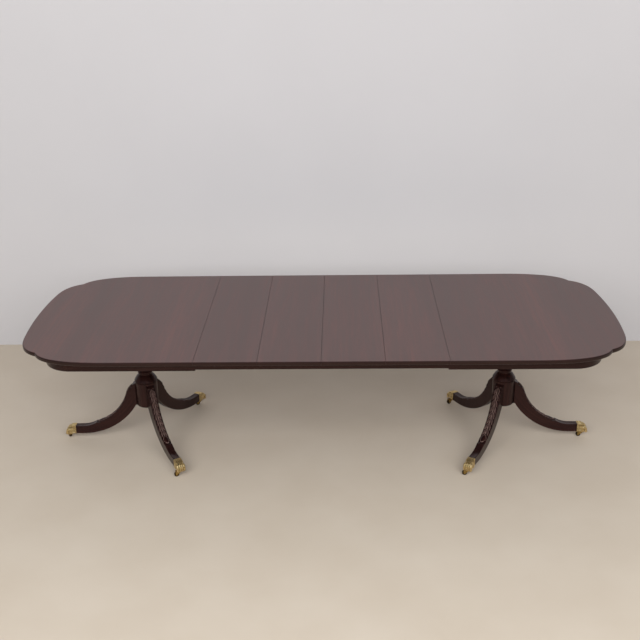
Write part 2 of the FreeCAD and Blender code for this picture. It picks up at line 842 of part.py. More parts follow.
save_half("left", half_nodes(slide_inner_y, 1, pin_radius, pin_in))
save_half("right", half_nodes(slide_inner_y + 2 * slide_pitch, -1, socket_radius, socket_depth))
save("middle_slides", middle_slides())
save("left_leaf_pins", leaf_pins(0))
for number in range(leaf_count):
    save("leaf_" + str(number + 1), [leaf_board(number)])
    save("leaf_" + str(number + 1) + "_aprons", leaf_aprons(number))
    save("leaf_" + str(number + 1) + "_pins", leaf_pins(number + 1))
for (side, place), angle in caster_trails.items():
    sign = 1 if side == "right" else -1
    leg_turn = math.radians(leg_angles[place])
    stem_at = V(sign * (pedestal_x + stem_r * math.cos(leg_turn)), stem_r * math.sin(leg_turn), 0)
    for name, shapes in (("fork", [caster_fork(), axle_rivet()]), ("wheel", [caster_wheel()])):
        turned_shapes = [placed(shape, angle, 0) for shape in shapes]
        for shape in turned_shapes:
            shape.translate(stem_at)
        save(side + "_" + place + "_caster_" + name, turned_shapes)
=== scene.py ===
# %% [markdown]
# # Double pedestal dining table
# The construction model is the skeleton of this scene: every board, leg and wheel is already in its place,
# in metres. This lesson dresses it: it gives each piece its finish, and makes again in finer detail the
# pieces that a carver, a turner and a brass founder would have worked on by hand.

# %% Load the frame
import math

import bmesh
import bpy
import numpy as np
from mathutils import Matrix, Vector


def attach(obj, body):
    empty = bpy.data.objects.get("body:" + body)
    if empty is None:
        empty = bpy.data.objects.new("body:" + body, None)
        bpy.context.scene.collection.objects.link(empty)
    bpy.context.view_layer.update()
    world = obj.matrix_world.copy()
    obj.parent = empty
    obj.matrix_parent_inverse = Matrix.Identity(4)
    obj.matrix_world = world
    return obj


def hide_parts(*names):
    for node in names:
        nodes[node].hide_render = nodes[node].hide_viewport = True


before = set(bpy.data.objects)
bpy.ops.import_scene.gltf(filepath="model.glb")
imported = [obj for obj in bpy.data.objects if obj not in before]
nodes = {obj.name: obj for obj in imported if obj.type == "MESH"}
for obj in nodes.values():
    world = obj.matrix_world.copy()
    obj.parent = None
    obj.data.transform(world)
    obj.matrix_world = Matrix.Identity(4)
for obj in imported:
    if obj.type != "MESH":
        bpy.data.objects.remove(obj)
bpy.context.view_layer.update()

MM = 0.001
SIDES = {"left": -1, "right": 1}
LEG_ANGLES = {"outer": 0, "front": -120, "back": 120}

# %% [markdown]
# ## Small helpers
# A material is a tree of nodes. Adding a node always means the same four things: make it, set its options,
# set its numbers and link its inputs. One function does that for every kind of node, in materials and in
# Geometry Nodes alike. Colours are written as the hex values of a paint chart. The renderer works in linear
# light, so one function turns them.

# %% Node and colour helpers
def linear(code):
    """Linear colour of an sRGB hex value."""
    channels = [int(code[i:i + 2], 16) / 255 for i in (1, 3, 5)]
    return [c / 12.92 if c <= 0.04045 else ((c + 0.055) / 1.055) ** 2.4 for c in channels] + [1.0]


def add(tree, kind, links=None, values=None, **options):
    """Adds one node, sets its options and numbers, and links its inputs."""
    node = tree.nodes.new(kind)
    for name, option in options.items():
        setattr(node, name, option)
    for key, number in (values or {}).items():
        node.inputs[key].default_value = number
    for key, socket in (links or {}).items():
        tree.links.new(socket, node.inputs[key])
    return node


def blank_material(name):
    """Empty material with its tree."""
    material = bpy.data.materials.new(name)
    material.use_nodes = True
    material.node_tree.nodes.clear()
    return material, material.node_tree


def per_metre(millimetres):
    """Texture scale that gives features of a real size."""
    return 1000 / millimetres


print("helpers ready, 1 mm spots need a texture scale of", per_metre(1))

# %% [markdown]
# Every finish below is built from the same few moves: lay down noise of a real size, stretch a range of
# values onto another, step through colours, and tint one colour towards another.

# %% Moves that every finish shares
def noise(tree, place, size_mm, detail):
    """Noise with spots of a real size."""
    numbers = {"Scale": per_metre(size_mm), "Detail": detail}
    return add(tree, "ShaderNodeTexNoise", {"Vector": place}, numbers).outputs


def remap(tree, value, given, wanted):
    """Stretches a range of values onto another and stops at its ends."""
    numbers = {"From Min": given[0], "From Max": given[1], "To Min": wanted[0], "To Max": wanted[1]}
    return add(tree, "ShaderNodeMapRange", {"Value": value}, numbers).outputs["Result"]


def blend(tree, first, second, share):
    """Mixes a share of a second pattern into a first one."""
    return add(tree, "ShaderNodeMix", {"A": first, "B": second}, {"Factor": share}).outputs["Result"]


def tint(tree, amount, colour, code):
    """Draws a colour towards an sRGB one."""
    mixed = add(tree, "ShaderNodeMix", {"Factor": amount, "A": colour}, {"B": linear(code)}, data_type="RGBA")
    return mixed.outputs["Result"]


def colour_steps(tree, factor, steps):
    """Ramp through sRGB colours, each at its place from 0 to 1."""
    ramp = add(tree, "ShaderNodeValToRGB", {"Fac": factor})
    elements = ramp.color_ramp.elements
    while len(elements) < len(steps):
        elements.new(1.0)
    for element, (place, code) in zip(elements, steps):
        element.position = place
        element.color = linear(code)
    return ramp.outputs["Color"]


def marked(tree, mark):
    """Reads what a mesh has stored at its corners under a name."""
    return add(tree, "ShaderNodeAttribute", attribute_name=mark).outputs


UNIT = (0.0, 1.0)
print("moves ready, ranges run over", UNIT, "where nothing else is said")

# %% [markdown]
# ## Lacquered mahogany
# Mahogany is a red-brown wood with interlocked grain: ribbons about a finger wide that turn dark and light
# along the board, fine fibres inside them, and short open pores. The maker stained it very dark and rubbed a
# satin lacquer over it, so the eye sees the deep colour first and the pale room mirrored softly on top. A
# picture of wood could be wrapped around the pieces, but it would repeat and blur. Noise stretched along the
# grain never repeats and can run the right way on each piece, so there is one recipe and a direction for
# every board. Each layer of the grain has a width in millimetres, a squeeze that draws it out along the
# grain, and a fineness.

# %% Layers of the grain
TURN_TO_GRAIN = {"X": (0, 0, 0), "Y": (0, 0, math.radians(-90)), "Z": (0, math.radians(90), 0)}
GRAIN_LAYERS = {"ribbon": (16, 0.045, 3.0), "fibre": (3, 0.03, 2.0), "pore": (1.1, 0.07, 0.0),
                "board": (170, 0.02, 1.0)}
SWAY_MM, SWAY_DETAIL, SWAY_M = 260, 1.0, (0.0, 0.012, 0.012)


def grain_layers(tree, along, own_grain):
    """Noise layers drawn out along one axis, or along the grain that a piece carries."""
    if own_grain:
        place = marked(tree, "grain")["Vector"]
    else:
        place = add(tree, "ShaderNodeTexCoord").outputs["Object"]
    rotation = {"Rotation": TURN_TO_GRAIN[along]}
    turned = add(tree, "ShaderNodeMapping", {"Vector": place}, rotation).outputs["Vector"]
    sway = noise(tree, turned, SWAY_MM, SWAY_DETAIL)["Color"]
    bent = add(tree, "ShaderNodeVectorMath", {0: sway, 2: turned}, {1: SWAY_M}, operation="MULTIPLY_ADD")
    swayed = {"Vector": bent.outputs["Vector"]}
    layers = {}
    for layer, (width, squeeze, detail) in GRAIN_LAYERS.items():
        drawn = add(tree, "ShaderNodeMapping", swayed, {"Scale": (squeeze, 1, 1)})
        layers[layer] = noise(tree, drawn.outputs["Vector"], width, detail)["Fac"]
    return layers


print("grain has", len(GRAIN_LAYERS), "layers")

# %% [markdown]
# The colour comes next. The pores fill with dark stain; hollows of the carving keep more of it and get
# painted shade, and high spots that face up turn pale, worn by dusting and painted as highlights. The top
# alone gets a painted sheen on its flat face and painted shade on its rounded rim, almost black, so this
# finish looks at which way the surface faces.

# %% Mahogany recipe
MAHOGANY_TONES = ((0.0, "#180c0b"), (0.4, "#221312"), (0.65, "#2a1715"), (1.0, "#351e1a"))
# Darker copy of the same mahogany for the aprons: painted shade for the shadow they sit in under the
# overhanging top.
APRON_SHADED_TONES = ((0.0, "#120807"), (0.4, "#190d0c"), (0.65, "#1f100f"), (1.0, "#291613"))
TOP_TONES = ((0.0, "#160b0a"), (0.35, "#23110f"), (0.65, "#331816"), (1.0, "#47231e"))
# Pale for worn high spots with a painted highlight, dark for stain with painted shade in hollows, painted
# sheen for the top's flat face, and painted shade for its rim.
RUBBED_HIGHLIGHT, HOLLOW_STAIN_AND_SHADE, PAINTED_SHEEN, PAINTED_RIM_SHADE, WARM_MIRROR = "#937a72", "#0d0504", "#d2b5b1", "#0b0505", "#ffd2cd"
SATIN, GLOSS, LACQUER_IOR, LACQUER_MIRROR = 0.34, 0.24, 1.5, 0.33
FIBRE_SHARE, BOARD_SHARE, FIGURE_RANGE = 0.32, 0.3, (0.34, 0.66)
PORE_RANGE, PORE_STAIN, PORE_BUMP, PORE_DEPTH_M = (0.63, 0.72), 0.55, 0.12, 0.0002
FLAT_FACE, RIM_FACE, RIM_DARK = (0.9, 1.0), (0.6, 0.97), 0.95
SMOOTHER, ROUGHER = 0.04, 0.05


def painted_sheen_and_rim_shade(tree, colour, painted_sheen_share):
    """Painted sheen on what faces up, and painted shade on the rounded rim."""
    normal = add(tree, "ShaderNodeNewGeometry").outputs["Normal"]
    upward = add(tree, "ShaderNodeSeparateXYZ", {"Vector": normal}).outputs["Z"]
    sheened = tint(tree, remap(tree, upward, FLAT_FACE, (0.0, painted_sheen_share)), colour, PAINTED_SHEEN)
    return tint(tree, remap(tree, upward, RIM_FACE, (RIM_DARK, 0.0)), sheened, PAINTED_RIM_SHADE)


def wood(name, along, tones, roughness, own_grain=False, painted_sheen_share=0.0, mirror=LACQUER_MIRROR):
    """Wood in one set of tones, with its grain along one axis or along the grain that a piece carries."""
    material, tree = blank_material(name)
    layers = grain_layers(tree, along, own_grain)
    figure = blend(tree, layers["ribbon"], layers["fibre"], FIBRE_SHARE)
    figure = blend(tree, figure, layers["board"], BOARD_SHARE)
    colour = colour_steps(tree, remap(tree, figure, FIGURE_RANGE, UNIT), tones)
    pores = remap(tree, layers["pore"], PORE_RANGE, (0.0, PORE_STAIN))
    colour = tint(tree, pores, colour, tones[0][1])
    # High spots that face up are drawn pale: wear and a painted highlight.
    colour = tint(tree, marked(tree, "wear_and_highlight")["Fac"], colour, RUBBED_HIGHLIGHT)
    # Hollows of the carving are drawn darker: real stain and painted shade.
    colour = tint(tree, marked(tree, "recess")["Fac"], colour, HOLLOW_STAIN_AND_SHADE)
    # Painted sheen on the top's flat face and painted shade on its rounded rim, set by which way the surface
    # faces.
    if painted_sheen_share:
        colour = painted_sheen_and_rim_shade(tree, colour, painted_sheen_share)
    sheen = remap(tree, layers["ribbon"], UNIT, (roughness - SMOOTHER, roughness + ROUGHER))
    sunk = {"Strength": PORE_BUMP, "Distance": PORE_DEPTH_M}
    bump = add(tree, "ShaderNodeBump", {"Height": pores}, sunk, invert=True)
    shader = add(tree, "ShaderNodeBsdfPrincipled",
                 {"Base Color": colour, "Roughness": sheen, "Normal": bump.outputs["Normal"]},
                 {"IOR": LACQUER_IOR, "Specular IOR Level": mirror, "Specular Tint": linear(WARM_MIRROR)})
    add(tree, "ShaderNodeOutputMaterial", {"Surface": shader.outputs["BSDF"]})
    return material


# The aprons take the darker tones, which paint in the shade under the top.
lacquer = {axis: wood("lacquered_mahogany_along_" + axis.lower(), axis, APRON_SHADED_TONES, GLOSS) for axis in "XY"}
lacquer["Z"] = wood("lacquered_mahogany_turned", "Z", MAHOGANY_TONES, GLOSS)
# The top gets the painted sheen on its face and the painted shade on its rim.
lacquer["top"] = wood("satin_mahogany_top_painted_sheen", "Y", TOP_TONES, SATIN, painted_sheen_share=0.1, mirror=0.55)
lacquer["own"] = wood("lacquered_mahogany_shaped", "X", MAHOGANY_TONES, GLOSS, own_grain=True)
print("made", len(lacquer), "mahogany finishes")

# %% [markdown]
# ## The wood inside
# Slides, battens, glue blocks and pedestal boards are plain planed hardwood. Nobody sees them at dinner, so
# they got one thin wash of stain and no lacquer: the same recipe, paler and duller.

# %% Inner hardwood
PLANED_TONES = ((0.0, "#4f3321"), (0.4, "#6d492f"), (0.7, "#80573a"), (1.0, "#94694a"))
PLANED = 0.55
planed = {axis: wood("planed_hardwood_along_" + axis.lower(), axis, PLANED_TONES, PLANED) for axis in "XY"}
print("made", len(planed), "inner wood finishes")

# %% [markdown]
# ## Metals
# The paws are cast brass: polished on the high spots, brown with old polish and tarnish in the hollows. The
# caster forks are the same brass gone dull, and the wheels are nearly black from the floor. The spider
# plates are black forged iron, which scatters light in small hammer marks. The screws are plain steel with
# fine turning marks. A metal's colour is its reflection, so each recipe is two colours, a roughness, the
# size of its patches and marks in millimetres, and how deep the marks look.

# %% Metal finishes
TARNISH, PATCH_RANGE, PATCH_DETAIL = "#2c1d0c", (0.35, 0.7), 4.0
POLISHED, WORN_DULL = 0.08, 0.12
GRIT_DETAIL, GRIT_DEPTH_M = 2.0, 0.0005


def metal(name, bright, dull, roughness, patch_mm, grit_mm, grit_strength):
    """Metal that changes between two colours, and darkens where the casting is hollow."""
    material, tree = blank_material(name)
    place = add(tree, "ShaderNodeTexCoord").outputs["Object"]
    patch = noise(tree, place, patch_mm, PATCH_DETAIL)["Fac"]
    body = colour_steps(tree, remap(tree, patch, PATCH_RANGE, UNIT), ((0.0, bright), (1.0, dull)))
    aged = tint(tree, marked(tree, "recess")["Fac"], body, TARNISH)
    uneven = remap(tree, patch, UNIT, (roughness - POLISHED, roughness + WORN_DULL))
    grit = noise(tree, place, grit_mm, GRIT_DETAIL)["Fac"]
    marks = {"Strength": grit_strength, "Distance": GRIT_DEPTH_M}
    bump = add(tree, "ShaderNodeBump", {"Height": grit}, marks)
    surface = {"Base Color": aged, "Roughness": uneven, "Normal": bump.outputs["Normal"]}
    shader = add(tree, "ShaderNodeBsdfPrincipled", surface, {"Metallic": 1.0})
    add(tree, "ShaderNodeOutputMaterial", {"Surface": shader.outputs["BSDF"]})
    return material


brass = metal("cast_brass", "#eed8a4", "#c4a66c", 0.36, 7, 1.5, 0.15)
iron = metal("forged_black_iron", "#3a3937", "#1f1e1d", 0.55, 18, 7, 0.5)
steel = metal("plain_steel", "#a3a3a5", "#77777a", 0.36, 6, 1, 0.1)
dull_brass = metal("dulled_caster_brass", "#c3a669", "#7c6432", 0.3, 5, 1, 0.1)
dark_brass = metal("blackened_wheel_brass", "#5a4a31", "#241c12", 0.2, 5, 1, 0.05)
print("made", brass.name, iron.name, steel.name, dull_brass.name, dark_brass.name)

# %% [markdown]
# ## Finishes on the construction model
# The top, leaves, aprons and inner frame already have their real shape, so they keep it and get a finish.
# The grain of the top and leaves runs across the table, along the seams, as it does on tables that open in
# the middle. Rails, slides and apron strips take their grain along their own length.

# %% Give each carried-over piece its finish
def coat(name, material):
    """Gives a construction piece its finish."""
    for slot in nodes[name].material_slots:
        slot.material = material


FINISHES = {
    "_top": lacquer["top"], "_side_aprons": lacquer["X"], "_end_apron": lacquer["Y"],
    "_apron_corners": lacquer["X"], "_aprons": lacquer["X"], "_leg": lacquer["X"], "_column": lacquer["Z"],
    "_glue_blocks": planed["X"], "_cross_battens": planed["Y"], "_slide_rails": planed["X"],
    "_slides": planed["X"], "_pedestal_board": planed["Y"], "_pins": planed["X"],
    "_spider_plate": iron, "_wood_screws": steel, "_fork": dull_brass, "_wheel": dark_brass, "_paw": brass,
}


def finish_of(name):
    """Finish of a construction piece, by the longest ending that fits its name. The leaves have none."""
    endings = [ending for ending in FINISHES if name.endswith(ending)]
    return FINISHES[max(endings, key=len)] if endings else lacquer["top"]


for name in nodes:
    coat(name, finish_of(name))
print("coated", len(nodes), "construction pieces")

# %% [markdown]
# ## From a list of corners to a piece
# The shaped pieces are made as lists of corner points and faces. These functions turn such a list into a
# piece at the origin, merge what meets, point the faces outwards, give the piece its finish and its body, and
# hide the construction pieces that it stands in for.

# %% Mesh helpers
PEDESTAL_X, MERGE_M, WEAR_HIGHLIGHT_START = 977.7, 0.00002, 0.45


def new_mesh(name, corners, faces):
    """Mesh from corners in millimetres."""
    mesh = bpy.data.meshes.new(name)
    mesh.from_pydata((np.asarray(corners) * MM).tolist(), [], [list(map(int, face)) for face in faces])
    mesh.update()
    return mesh


def tidy_mesh(mesh):
    """Merges doubles, turns the faces outwards and shades them smoothly."""
    work = bmesh.new()
    work.from_mesh(mesh)
    bmesh.ops.remove_doubles(work, verts=work.verts, dist=MERGE_M)
    bmesh.ops.recalc_face_normals(work, faces=work.faces)
    for face in work.faces:
        face.smooth = True
    work.to_mesh(mesh)
    work.free()
    return mesh


def ring_faces(rings, around):
    """Faces between rings of corners that follow each other."""
    faces = []
    for low in range(0, (rings - 1) * around, around):
        for j in range(around):
            after = (j + 1) % around
            faces.append((low + j, low + after, low + around + after, low + around + j))
    return faces


def corners_of(mesh):
    """Corner positions of a mesh as an array."""
    flat = np.empty(len(mesh.vertices) * 3)
    mesh.vertices.foreach_get("co", flat)
    return flat.reshape(-1, 3)


def mark_recesses(mesh, rounds, depth_mm, wear_and_highlight_share=1.0):
    """Stores how far each corner lies below or above its surroundings, from 0 to 1, for stain, tarnish and
    painted shade in hollows, and for wear with a painted highlight on high spots.
    """
    points = corners_of(mesh)
    normals = np.array([v.normal for v in mesh.vertices])
    ends = np.array([e.vertices[:] for e in mesh.edges])
    count = np.bincount(ends.ravel(), minlength=len(points))[:, None]
    smooth = points.copy()
    for _ in range(rounds):
        total = np.zeros_like(smooth)
        np.add.at(total, ends[:, 0], smooth[ends[:, 1]])
        np.add.at(total, ends[:, 1], smooth[ends[:, 0]])
        smooth = total / np.maximum(count, 1)
    depth = ((smooth - points) * normals).sum(1) / (depth_mm * MM)
    # High spots turn pale: wear, together with a painted highlight.
    wear_and_highlight = wear_and_highlight_share * (-depth - WEAR_HIGHLIGHT_START) / (1 - WEAR_HIGHLIGHT_START)
    for name, amount in (("recess", depth), ("wear_and_highlight", wear_and_highlight)):
        stored = mesh.attributes.new(name, "FLOAT", "POINT")
        stored.data.foreach_set("value", np.clip(amount, 0, 1).astype(np.float32))


def show(name, mesh, material, body, replaced):
    """Puts a finished mesh in the scene as a piece of one body."""
    mesh.materials.clear()
    mesh.materials.append(material)
    piece = bpy.data.objects.new(name, mesh)
    bpy.context.scene.collection.objects.link(piece)
    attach(piece, body)
    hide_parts(*replaced)
    return piece


def at_pedestal(mesh, side, angle):
    """Copy of a mesh made along +X, set at a pedestal's leg."""
    copy = mesh.copy()
    turn = Matrix.Rotation(math.radians(angle), 4, "Z")
    move = Matrix.Translation((PEDESTAL_X * MM, 0, 0))
    mirror = Matrix.Scale(SIDES[side], 4, (1, 0, 0))
    copy.transform(mirror @ move @ turn)
    if SIDES[side] < 0:
        copy.flip_normals()
    return copy


print("pedestals stand", PEDESTAL_X, "mm from the middle of the table")

# %% [markdown]
# ## Turned columns
# A turner held the blank between centres and cut beads, hollows and a vase into it. A lathe can be copied
# exactly: draw half the outline, then spin it about the axis. Each step of the outline is a radius, a height
# and a bulge, which says how far the cut bows out from a straight line.

# %% Turn the columns
COLUMN_OUTLINE = (
    (0, 217, 0), (52, 217, 0), (60, 225, 0.2), (60, 361, 0), (57, 363, 0), (57, 365, 0), (62, 369, 0.25),
    (39, 403, 0.05), (36, 406, 0), (36, 411, 0), (36, 424, 0.3), (33, 429, 0), (48, 512, 0.08),
    (30, 600, 0.12), (30, 610, 0), (32, 624, 0.5), (32, 629, 0), (62, 648, -0.3), (62, 658.3, 0),
    (26, 658.3, 0), (26, 688.3, 0), (0, 688.3, 0),
)
COLUMN_SIDES, STEPS_PER_CUT = 96, 10
SAME_PLACE_M, PLACE_DIGITS, ON_EDGE_M = 1e-6, 6, 1e-5


def bowed(outline, steps):
    """Outline with its bowed cuts drawn as short lines, and which of its points are sharp."""
    points, sharp = [np.array(outline[0][:2], float)], [True]
    for (r0, z0, _), (r1, z1, bulge) in zip(outline, outline[1:]):
        start, end = np.array((r0, z0), float), np.array((r1, z1), float)
        chord = end - start
        out = np.array((chord[1], -chord[0]))
        for step in range(1, steps + 1 if bulge else 2):
            t = step / steps if bulge else 1.0
            turn = 4 * math.atan(2 * bulge)
            if bulge:
                across = math.sin(turn * (t - 0.5)) / (2 * math.sin(turn / 2)) + 0.5
                rise = (math.cos(turn * (t - 0.5)) - math.cos(turn / 2)) / (2 * math.sin(turn / 2))
            else:
                across, rise = t, 0.0
            points.append(start + chord * across + out * rise)
            sharp.append(t == 1.0)
    return np.array(points), sharp


def turn_on_lathe(name, outline, around):
    """Solid of revolution about the upright axis, with an edge left sharp where two cuts meet."""
    points, sharp = bowed(outline, STEPS_PER_CUT)
    rings = len(points)
    angle = np.arange(around) * 2 * math.pi / around
    corners = [(r * math.cos(a), r * math.sin(a), z) for r, z in points for a in angle]
    mesh = tidy_mesh(new_mesh(name, corners, ring_faces(rings, around)))
    radii = {round(z * MM, PLACE_DIGITS): r * MM for (r, z), cut_end in zip(points, sharp) if cut_end}
    for edge in mesh.edges:
        a, b = (mesh.vertices[v].co for v in edge.vertices)
        radius = radii.get(round(a.z, PLACE_DIGITS))
        level = abs(a.z - b.z) < SAME_PLACE_M and radius is not None
        edge.use_edge_sharp = bool(level and abs(math.hypot(a.x, a.y) - radius) < ON_EDGE_M)
    return mesh


turned_column = turn_on_lathe("turned_column", COLUMN_OUTLINE, COLUMN_SIDES)
for side in SIDES:
    column = at_pedestal(turned_column, side, 0)
    show(side + "_turned_column", column, lacquer["Z"], side + "_half", [side + "_column"])
print("turned column has", len(turned_column.polygons), "faces")

# %% [markdown]
# ## Carved sabre legs
# Each leg sweeps down like a sabre. The carver left the wood thick from the knee to two thirds of the way
# down, cut a long acanthus leaf into it, and let the leaf's tip stand up above the plain end. Sculpting by
# hand would not repeat six times, so the leg is a grid of lines across its length, and a height worked out
# at each point of the upper face sinks the ground between the leaflets. The side view is an outline with
# bowed steps, as on the lathe.

# %% Side view of a leg
STATIONS, LEG_TOE_R, HUB_R = 420, 420.0, 60.0
KNEE, LEAF_TIP, PLAIN_START = (116.0, 288.0), (288.0, 112.8), (378.0, 83.0)
HEEL, UNDER_LOW = (60.0, 225.8), (383.5, 37.2)
SHOULDER_BULGE, LEAF_BULGE, INSIDE_HUB = -0.11, 0.12, 1.5
SHOULDER_Z, SHOULDER_INSIDE_Z, HEEL_INSIDE_Z = 350.0, 350.5, 229.0
UPPER_STEPS, LOWER_STEPS = 60, 120


def level_bulge(high, low):
    """Bulge of an arc that runs level where it reaches its low end."""
    return math.tan(math.atan2(high[1] - low[1], low[0] - high[0]) / 2) / 2


def evenly(points, count):
    """Points set at even steps along a line, with the distance of each from its start."""
    run = np.r_[0, np.cumsum(np.hypot(*np.diff(points, axis=0).T))]
    steps = np.linspace(0, run[-1], count)
    return np.stack([np.interp(steps, run, points[:, k]) for k in (0, 1)], 1), steps


upper_outline = (
    (HUB_R - INSIDE_HUB, SHOULDER_INSIDE_Z, 0), (HUB_R, SHOULDER_Z, 0), (*KNEE, SHOULDER_BULGE),
    (*LEAF_TIP, LEAF_BULGE), (*PLAIN_START, level_bulge(LEAF_TIP, PLAIN_START)),
    (LEG_TOE_R, PLAIN_START[1], 0),
)
lower_outline = (
    (HUB_R - INSIDE_HUB, HEEL_INSIDE_Z, 0), (*HEEL, 0), (*UNDER_LOW, level_bulge(HEEL, UNDER_LOW)),
    (LEG_TOE_R, UNDER_LOW[1], 0),
)
upper, upper_run = evenly(bowed(upper_outline, UPPER_STEPS)[0], STATIONS)
lower, lower_run = evenly(bowed(lower_outline, LOWER_STEPS)[0], STATIONS)
along = np.gradient(upper, axis=0)
along /= np.hypot(*along.T)[:, None]
upper_out = np.stack((-along[:, 1], along[:, 0]), 1)
tip_run = float(upper_run[np.argmin(np.hypot(*(upper - LEAF_TIP).T))])
print("leg is", round(upper_run[-1]), "mm long above and", round(lower_run[-1]), "mm below")

# %% [markdown]
# The carving is a height above or below the side view, worked out from how far along the leg and how far
# from its middle line a point lies. Each leaflet springs from the midrib, leans outwards, swells and closes
# to a tip. The highest of all the leaflets, the midrib and the end of the leaf wins, and the ground shows
# where none of them is.

# %% Height of the carving
LEAF_START, LEAF_END = 26.0, tip_run + 4.0
LEAFLETS, LEAFLET_PITCH, LEAFLET_LENGTH, LEAFLET_LEAN = 9, 33.0, 50.0, math.radians(25)
LEAFLET_HALF, LEAFLET_LOSS = 8.2, 0.2
CREST, GROUND, CROWN, END_HOLLOW = 0.6, -5.2, 2.6, 1.2
VEIN, VEIN_WIDTH, RIB, RIB_PITCH = 1.5, 1.2, 0.5, 3.4
MIDRIB_HALF, MIDRIB_LOSS, MIDRIB_RISE, MIDRIB_GROOVE, GROOVE_WIDTH = 3.8, 1.4, 0.6, 1.1, 0.9
TIP_LENGTH, TIP_HALF, TIP_RISE = 26.0, 12.5, 0.8
LEAF_FADES_IN, LEAF_FADES_OUT = (LEAF_START - 8, LEAF_START + 6), (LEAF_END - 2, LEAF_END + 12)
HOLLOW_FADES_IN, HOLLOW_FADES_OUT = (LEAF_END + 6, LEAF_END + 30), (upper_run[-1] - 30, upper_run[-1])


def smooth_step(x, low, high):
    """0 below low, 1 above high, and a smooth rise between."""
    t = np.clip((x - low) / (high - low), 0, 1)
    return t * t * (3 - 2 * t)


def leaflet(run, y, start, reach):
    """Height of one pair of leaflets that spring from the midrib at start."""
    ahead = (run - start) * math.cos(LEAFLET_LEAN) + np.abs(y) * math.sin(LEAFLET_LEAN)
    aside = np.abs(y) * math.cos(LEAFLET_LEAN) - (run - start) * math.sin(LEAFLET_LEAN)
    t = np.clip(ahead / LEAFLET_LENGTH, 0, 1)
    half = reach * (0.3 + 0.7 * np.sin(math.pi * t ** 0.8)) * (1 - t ** 8)
    inside = np.clip(1 - (aside / np.maximum(half, 0.01)) ** 2, 0, 1)
    inside = inside * (ahead > 0) * (ahead < LEAFLET_LENGTH)
    vein = VEIN * np.exp(-(aside / VEIN_WIDTH) ** 2)
    ribs = RIB * np.cos(aside * 2 * math.pi / RIB_PITCH)
    raised = GROUND + (CREST - GROUND) * inside ** 0.5 * (0.72 + 0.28 * t) - vein + ribs * inside
    return np.where(inside > 0, raised, GROUND)


def midrib(run, y):
    """Height of the stem of the leaf, with a groove along it."""
    half = MIDRIB_HALF - MIDRIB_LOSS * (run - LEAF_START) / (LEAF_END - LEAF_START)
    round_top = np.clip(1 - (y / half) ** 2, 0, 1)
    groove = MIDRIB_GROOVE * np.exp(-(y / GROOVE_WIDTH) ** 2)
    raised = GROUND + (CREST + MIDRIB_RISE - GROUND) * round_top ** 0.5 - groove
    return np.where(round_top > 0, raised, GROUND)


def leaf_end(run, y):
    """Height of the rounded end of the leaf, which stands up above the plain end of the leg."""
    inside = 1 - ((run - LEAF_END + TIP_LENGTH) / TIP_LENGTH) ** 2 - (y / TIP_HALF) ** 2
    raised = GROUND + (CREST + TIP_RISE - GROUND) * np.clip(inside, 0, 1) ** 0.3
    return np.where(inside > 0, raised, GROUND)


def carving(run, y, half_width):
    """How far the upper face lies above its side view, along the leg and from its middle line."""
    height = midrib(run, y)
    for number in range(LEAFLETS):
        springs = LEAF_START + number * LEAFLET_PITCH
        height = np.maximum(height, leaflet(run, y, springs, LEAFLET_HALF - LEAFLET_LOSS * number))
    height = np.maximum(height, leaf_end(run, y))
    leaf = smooth_step(run, *LEAF_FADES_IN) * (1 - smooth_step(run, *LEAF_FADES_OUT))
    hollow = smooth_step(run, *HOLLOW_FADES_IN) * (1 - smooth_step(run, *HOLLOW_FADES_OUT))
    across = (y / half_width) ** 2
    return (height - CROWN * across) * leaf - END_HOLLOW * hollow * (1 - across)


print("leaf runs from", LEAF_START, "to", round(LEAF_END), "mm along the leg")

# %% [markdown]
# Each section across the leg is a rectangle with eased arrises. The sections follow the side view, and the
# carving lifts or sinks the points of the upper face and fades out down the sides. Every corner also keeps
# its distance along the sweep, so that the grain of the wood can follow the curve.

# %% Build the leg
TOP_COUNT, SIDE_COUNT, BOTTOM_COUNT, ARRIS_COUNT, ARRIS = 61, 15, 7, 4, 3.0
HUB_HALF_WIDTH, TOE_HALF_WIDTH, SIDE_FADE = 23.0, 18.0, 16.0
CARVING_ROUNDS, CARVING_DEPTH, HIGHLIGHT_HALF_WIDTH, FACES_UP = 14, 0.8, 15.0, 0.1


def leg_section(half_width, depth):
    """Outline of the leg across its length: sideways place and distance above the lower face."""
    flat = half_width - ARRIS
    bend = np.linspace(0, math.pi / 2, ARRIS_COUNT + 2)[1:-1]
    top = [(y, depth) for y in np.linspace(-flat, flat, TOP_COUNT)]
    right = [(flat + ARRIS * math.sin(b), depth - ARRIS + ARRIS * math.cos(b)) for b in bend]
    right += [(half_width, z) for z in np.linspace(depth - ARRIS, ARRIS, SIDE_COUNT)]
    right += [(flat + ARRIS * math.cos(b), ARRIS - ARRIS * math.sin(b)) for b in bend]
    bottom = [(y, 0) for y in np.linspace(flat, -flat, BOTTOM_COUNT)]
    left = [(-y, z) for y, z in reversed(right)]
    return np.array(top + right + bottom + left)


